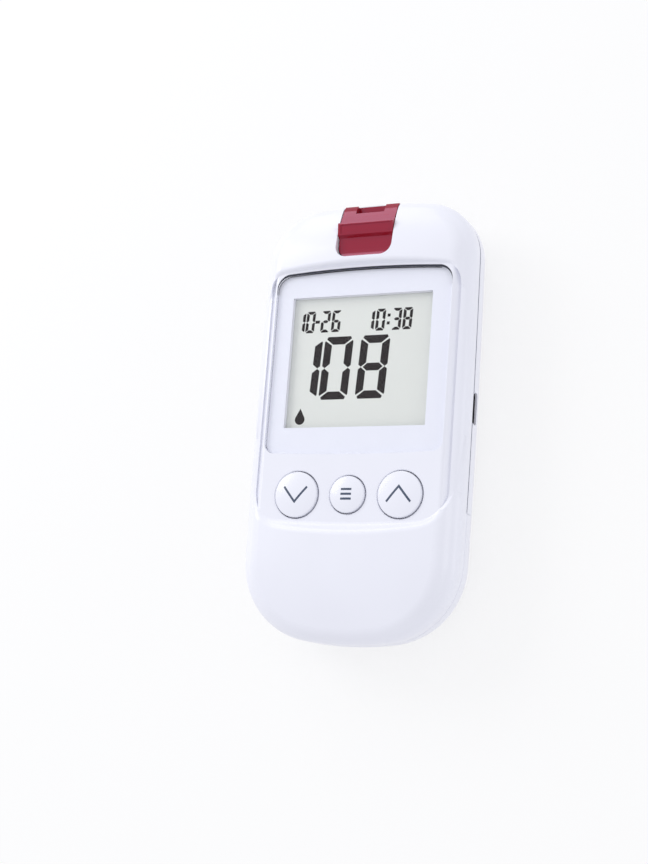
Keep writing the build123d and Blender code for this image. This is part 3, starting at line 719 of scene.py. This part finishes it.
class METER_OT_set_stage(Operator):
    """Lays the pale floor, hangs the soft lamps and places the camera"""
    bl_idname = "meter.set_stage"
    bl_label = "Set Stage"

    def execute(self, context):
        settings = context.scene.meter_stage
        self.lay_floor(settings)
        self.hang_lamps(settings)
        self.light_world(settings)
        self.place_camera(context)
        context.scene.view_settings.view_transform = "Standard"
        return {"FINISHED"}

    def seen_white(self, tree):
        """One for the eye, mirrors and clear pieces, nought for the rest."""
        path = tree.nodes.new("ShaderNodeLightPath")
        sum_rays = None
        for ray in ("Is Glossy Ray", "Is Transmission Ray"):
            add = tree.nodes.new("ShaderNodeMath")
            add.operation = "ADD"
            add.use_clamp = True
            first = sum_rays or path.outputs["Is Camera Ray"]
            tree.links.new(first, add.inputs[0])
            tree.links.new(path.outputs[ray], add.inputs[1])
            sum_rays = add.outputs[0]
        return sum_rays

    def lay_floor(self, settings):
        half = settings.floor_size / 2
        bm = bmesh.new()
        corners = [(-half, -half), (half, -half), (half, half), (-half, half)]
        bm.faces.new([bm.verts.new((x, y, CAD_LOW.z)) for x, y in corners])
        mesh = bpy.data.meshes.new("floor")
        bm.to_mesh(mesh)
        bm.free()
        floor = bpy.data.objects.new("floor", mesh)
        bpy.context.scene.collection.objects.link(floor)
        material, tree, shader = start_material("floor_white")
        shader.inputs["Roughness"].default_value = 0.9
        shader.inputs["Specular IOR Level"].default_value = 0.0
        tint_by(tree, shader, place_noise(tree, 3).outputs["Fac"], FLOOR_COLOUR, 0.01)
        glow = tree.nodes.new("ShaderNodeEmission")
        share = tree.nodes.new("ShaderNodeMath")
        share.operation = "MULTIPLY"
        share.inputs[1].default_value = FLOOR_GLOW
        mix = tree.nodes.new("ShaderNodeMixShader")
        tree.links.new(self.seen_white(tree), share.inputs[0])
        tree.links.new(share.outputs[0], mix.inputs["Fac"])
        tree.links.new(shader.outputs["BSDF"], mix.inputs[1])
        tree.links.new(glow.outputs["Emission"], mix.inputs[2])
        tree.links.new(mix.outputs["Shader"], tree.nodes["Material Output"].inputs["Surface"])
        mesh.materials.append(material)

    def hang_lamps(self, settings):
        middle = Vector((0, 0, CAD_HIGH.z / 2))
        for name, place, size, power in LAMPS:
            light = bpy.data.lights.new(name, "AREA")
            light.shape = "SQUARE"
            light.size = size
            light.energy = getattr(settings, power)
            lamp = bpy.data.objects.new(name, light)
            lamp.location = place
            lamp.rotation_mode = "QUATERNION"
            lamp.rotation_quaternion = (middle - Vector(place)).to_track_quat("-Z", "Y")
            bpy.context.scene.collection.objects.link(lamp)

    def light_world(self, settings):
        """A pale light tent, white to the eye."""
        world = bpy.data.worlds.new("studio_world")
        bpy.context.scene.world = world
        world.use_nodes = True
        tree = world.node_tree
        lit = tree.nodes["Background"]
        lit.inputs["Color"].default_value = TENT_COLOUR
        lit.inputs["Strength"].default_value = settings.tent
        white = tree.nodes.new("ShaderNodeBackground")
        white.inputs["Color"].default_value = (1, 1, 1, 1)
        white.inputs["Strength"].default_value = 1.0
        mix = tree.nodes.new("ShaderNodeMixShader")
        path = tree.nodes.new("ShaderNodeLightPath")
        tree.links.new(path.outputs["Is Camera Ray"], mix.inputs["Fac"])
        tree.links.new(lit.outputs["Background"], mix.inputs[1])
        tree.links.new(white.outputs["Background"], mix.inputs[2])
        tree.links.new(mix.outputs["Shader"], tree.nodes["World Output"].inputs["Surface"])

    def place_camera(self, context):
        data = bpy.data.cameras.new("camera")
        data.sensor_fit = "AUTO"
        data.sensor_width = SENSOR
        data.lens = FOCAL_PIXELS * SENSOR / IMAGE_HEIGHT
        data.clip_start = 0.01
        camera = bpy.data.objects.new("camera", data)
        axes = Matrix((CAMERA_RIGHT, CAMERA_UP, CAMERA_BACK)).transposed()
        camera.rotation_mode = "QUATERNION"
        camera.rotation_quaternion = axes.to_quaternion()
        camera.location = CAMERA_PLACE
        bpy.context.scene.collection.objects.link(camera)
        context.scene.camera = camera


# ------------------------------------------------------------------
# Sidebar and registration
# ------------------------------------------------------------------

PIECE_OPERATORS = (
    METER_OT_finish_case,
    METER_OT_finish_ejector,
    METER_OT_build_display,
    METER_OT_print_keys,
    METER_OT_finish_inside,
    METER_OT_set_stage,
)


class METER_PT_sidebar(Panel):
    """Buttons and settings of the meter"""
    bl_label = "Blood Glucose Meter"
    bl_idname = "METER_PT_sidebar"
    bl_space_type = "VIEW_3D"
    bl_region_type = "UI"
    bl_category = "Glucose Meter"

    def draw(self, context):
        scene = context.scene
        for group in (scene.meter_colours, scene.meter_display, scene.meter_stage):
            box = self.layout.box()
            for name in group.__annotations__:
                box.prop(group, name)
        for operator in PIECE_OPERATORS:
            self.layout.operator(operator.bl_idname)


GROUPS = {"meter_colours": MeterColours, "meter_display": MeterDisplay, "meter_stage": MeterStage}
CLASSES = (*GROUPS.values(), *PIECE_OPERATORS, METER_PT_sidebar)


def register():
    for item in CLASSES:
        bpy.utils.register_class(item)
    for name, group in GROUPS.items():
        setattr(bpy.types.Scene, name, PointerProperty(type=group))


def unregister():
    for name in GROUPS:
        delattr(bpy.types.Scene, name)
    for item in reversed(CLASSES):
        bpy.utils.unregister_class(item)


def main():
    register()
    bpy.ops.meter.finish_case()
    bpy.ops.meter.finish_ejector()
    bpy.ops.meter.build_display()
    bpy.ops.meter.print_keys()
    bpy.ops.meter.finish_inside()
    bpy.ops.meter.set_stage()


if __name__ == "__main__":
    main()
